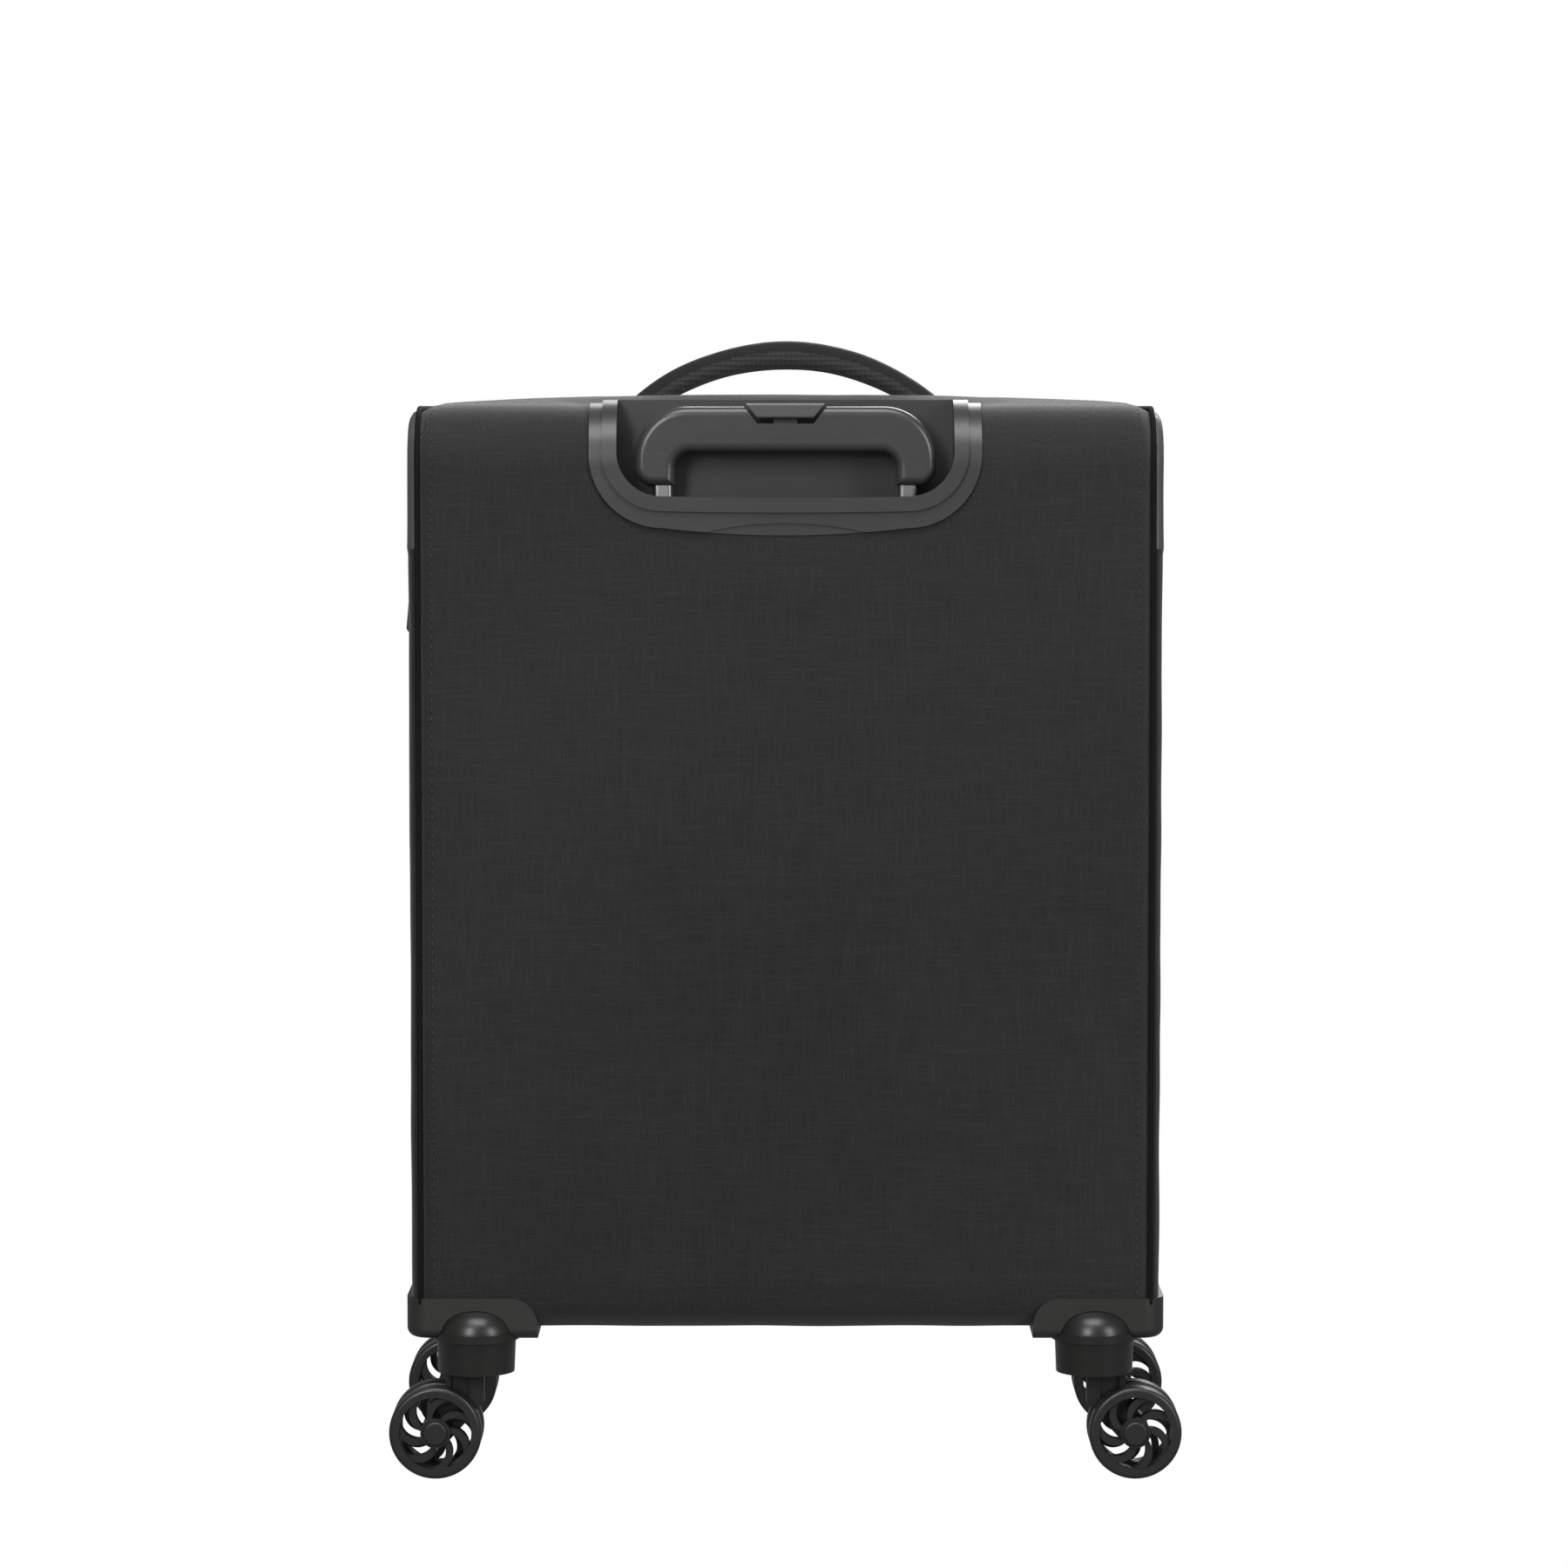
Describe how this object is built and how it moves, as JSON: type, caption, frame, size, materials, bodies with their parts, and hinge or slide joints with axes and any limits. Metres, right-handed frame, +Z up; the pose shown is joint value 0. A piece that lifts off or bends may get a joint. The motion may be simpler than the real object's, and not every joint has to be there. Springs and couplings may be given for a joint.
{
  "type": "softside upright suitcase",
  "caption": "Cabin-size softside suitcase that stands upright on double-wheel casters, with a trolley handle in a rear cup, a padded carry handle and a zipped lid.",
  "frame": {"origin": "on the floor, under the middle of the whole object", "axes": "+Z up, -Y towards the rear where the trolley handle is, +X towards the hinge side of the lid"},
  "size_m": [0.4066, 0.2, 0.583],
  "materials": {
    "black_fabric": "woven",
    "handle_fabric": "woven",
    "lining": "plain weave",
    "strap_webbing": "webbing",
    "piping": "satin",
    "zip_tape": "woven",
    "tray_plastic": "grained",
    "hoop_steel": "drawn",
    "guard_plastic": "fine grain",
    "housing_plastic": "gloss",
    "fork_plastic": "satin",
    "axle_cap": "satin",
    "wheel_plastic": "satin",
    "pin_steel": "turned",
    "screw_steel": "blackened",
    "tube_aluminium": "anodised",
    "collar_plastic": "satin",
    "cup_plastic": "satin",
    "grip_plastic": "satin",
    "button_plastic": "satin",
    "puller_metal": "black",
    "lock_plastic": "satin",
    "lock_metal": "satin",
    "dial_metal": "satin"
  },
  "bodies": {
    "case": {"base_tray": "tray_plastic", "body_piping": "piping", "carry_handle": "handle_fabric", "caster_housing_front_left": "housing_plastic", "caster_housing_front_right": "housing_plastic", "caster_housing_rear_left": "housing_plastic", "caster_housing_rear_right": "housing_plastic", "corner_guard_front_left": "guard_plastic", "corner_guard_front_right": "guard_plastic", "corner_guard_rear_left": "guard_plastic", "corner_guard_rear_right": "guard_plastic", "cup_collars": "collar_plastic", "frame_hoops": "hoop_steel", "handle_cup": "cup_plastic", "lock_body": "lock_plastic", "main_zip": "zip_tape", "outer_tubes": "tube_aluminium", "packing_straps": "strap_webbing", "rear_panel": "black_fabric", "screws": "screw_steel", "side_panel_left": "black_fabric", "side_panel_right": "black_fabric", "swivel_pins": "pin_steel", "top_panel": "black_fabric", "tube_cover": "lining", "tube_foot": "collar_plastic"},
    "trolley_middle": {"middle_tubes": "tube_aluminium", "middle_collars": "collar_plastic"},
    "trolley_inner": {"inner_tubes": "tube_aluminium", "grip_rear_half": "grip_plastic", "grip_front_half": "grip_plastic"},
    "button": {"grip_button": "button_plastic", "push_rods": "pin_steel"},
    "caster_rear_left": {"caster_fork_rear_left": "fork_plastic", "axle_rear_left": "axle_cap"},
    "wheel_outer_rear_left": {"wheel_outer_rear_left": "wheel_plastic"},
    "wheel_inner_rear_left": {"wheel_inner_rear_left": "wheel_plastic"},
    "caster_rear_right": {"caster_fork_rear_right": "fork_plastic", "axle_rear_right": "axle_cap"},
    "wheel_outer_rear_right": {"wheel_outer_rear_right": "wheel_plastic"},
    "wheel_inner_rear_right": {"wheel_inner_rear_right": "wheel_plastic"},
    "caster_front_left": {"caster_fork_front_left": "fork_plastic", "axle_front_left": "axle_cap"},
    "wheel_outer_front_left": {"wheel_outer_front_left": "wheel_plastic"},
    "wheel_inner_front_left": {"wheel_inner_front_left": "wheel_plastic"},
    "caster_front_right": {"caster_fork_front_right": "fork_plastic", "axle_front_right": "axle_cap"},
    "wheel_outer_front_right": {"wheel_outer_front_right": "wheel_plastic"},
    "wheel_inner_front_right": {"wheel_inner_front_right": "wheel_plastic"},
    "lid": {"lid_panel": "black_fabric", "front_pocket": "black_fabric", "pocket_zips": "zip_tape"},
    "dial_1": {"lock_dial_1": "dial_metal"},
    "dial_2": {"lock_dial_2": "dial_metal"},
    "dial_3": {"lock_dial_3": "dial_metal"},
    "release": {"lock_release": "lock_metal"},
    "main_puller_upper": {"main_puller_upper": "puller_metal"},
    "main_puller_lower": {"main_puller_lower": "puller_metal"},
    "pocket_puller_lower": {"pocket_puller_lower": "puller_metal"},
    "pocket_puller_upper": {"pocket_puller_upper": "puller_metal"}
  },
  "joints": [
    {"name": "trolley_stage_1", "type": "slide", "parent": "case", "child": "trolley_middle", "axis": [0, 0, 1], "range_m": [0, 0.235]},
    {"name": "trolley_stage_2", "type": "slide", "parent": "trolley_middle", "child": "trolley_inner", "axis": [0, 0, 1], "range_m": [0, 0.235]},
    {"name": "button_press", "type": "slide", "parent": "trolley_inner", "child": "button", "axis": [0, 0, -1], "range_m": [0, 0.0025], "stiffness_N_per_m": 400, "springref_m": -0.002},
    {"name": "swivel_rear_left", "type": "hinge", "parent": "case", "child": "caster_rear_left", "pos_m": [-0.159, -0.078, 0.06], "axis": [0, 0, 1], "continuous": true},
    {"name": "spin_outer_rear_left", "type": "hinge", "parent": "caster_rear_left", "child": "wheel_outer_rear_left", "pos_m": [-0.1796, -0.078, 0.02375], "axis": [0, 1, 0], "continuous": true},
    {"name": "spin_inner_rear_left", "type": "hinge", "parent": "caster_rear_left", "child": "wheel_inner_rear_left", "pos_m": [-0.1796, -0.078, 0.02375], "axis": [0, 1, 0], "continuous": true},
    {"name": "swivel_rear_right", "type": "hinge", "parent": "case", "child": "caster_rear_right", "pos_m": [0.159, -0.078, 0.06], "axis": [0, 0, 1], "continuous": true},
    {"name": "spin_outer_rear_right", "type": "hinge", "parent": "caster_rear_right", "child": "wheel_outer_rear_right", "pos_m": [0.1796, -0.078, 0.02375], "axis": [0, 1, 0], "continuous": true},
    {"name": "spin_inner_rear_right", "type": "hinge", "parent": "caster_rear_right", "child": "wheel_inner_rear_right", "pos_m": [0.1796, -0.078, 0.02375], "axis": [0, 1, 0], "continuous": true},
    {"name": "swivel_front_left", "type": "hinge", "parent": "case", "child": "caster_front_left", "pos_m": [-0.159, 0.067, 0.06], "axis": [0, 0, 1], "continuous": true},
    {"name": "spin_outer_front_left", "type": "hinge", "parent": "caster_front_left", "child": "wheel_outer_front_left", "pos_m": [-0.1796, 0.067, 0.02375], "axis": [0, 1, 0], "continuous": true},
    {"name": "spin_inner_front_left", "type": "hinge", "parent": "caster_front_left", "child": "wheel_inner_front_left", "pos_m": [-0.1796, 0.067, 0.02375], "axis": [0, 1, 0], "continuous": true},
    {"name": "swivel_front_right", "type": "hinge", "parent": "case", "child": "caster_front_right", "pos_m": [0.159, 0.067, 0.06], "axis": [0, 0, 1], "continuous": true},
    {"name": "spin_outer_front_right", "type": "hinge", "parent": "caster_front_right", "child": "wheel_outer_front_right", "pos_m": [0.1796, 0.067, 0.02375], "axis": [0, 1, 0], "continuous": true},
    {"name": "spin_inner_front_right", "type": "hinge", "parent": "caster_front_right", "child": "wheel_inner_front_right", "pos_m": [0.1796, 0.067, 0.02375], "axis": [0, 1, 0], "continuous": true},
    {"name": "lid_hinge", "type": "hinge", "parent": "case", "child": "lid", "pos_m": [0.1927, 0.0538, 0.3], "axis": [0, 0, -1], "range_deg": [0, 170]},
    {"name": "dial_1_turn", "type": "hinge", "parent": "case", "child": "dial_1", "pos_m": [-0.1964, 0.034, 0.4371], "axis": [0, 0, 1], "continuous": true},
    {"name": "dial_2_turn", "type": "hinge", "parent": "case", "child": "dial_2", "pos_m": [-0.1964, 0.034, 0.4427], "axis": [0, 0, 1], "continuous": true},
    {"name": "dial_3_turn", "type": "hinge", "parent": "case", "child": "dial_3", "pos_m": [-0.1964, 0.034, 0.4483], "axis": [0, 0, 1], "continuous": true},
    {"name": "lock_release_slide", "type": "slide", "parent": "case", "child": "release", "axis": [0, 0, 1], "range_m": [0, 0.003]},
    {"name": "main_puller_upper_slide", "type": "slide", "parent": "case", "child": "main_puller_upper", "axis": [0, 0, 1], "range_m": [0, 0.045]},
    {"name": "main_puller_lower_slide", "type": "slide", "parent": "case", "child": "main_puller_lower", "axis": [0, 0, -1], "range_m": [0, 0.29]},
    {"name": "pocket_puller_lower_slide", "type": "slide", "parent": "lid", "child": "pocket_puller_lower", "axis": [1, 0, 0], "range_m": [0, 0.245]},
    {"name": "pocket_puller_upper_slide", "type": "slide", "parent": "lid", "child": "pocket_puller_upper", "axis": [1, 0, 0], "range_m": [0, 0.245]}
  ]
}
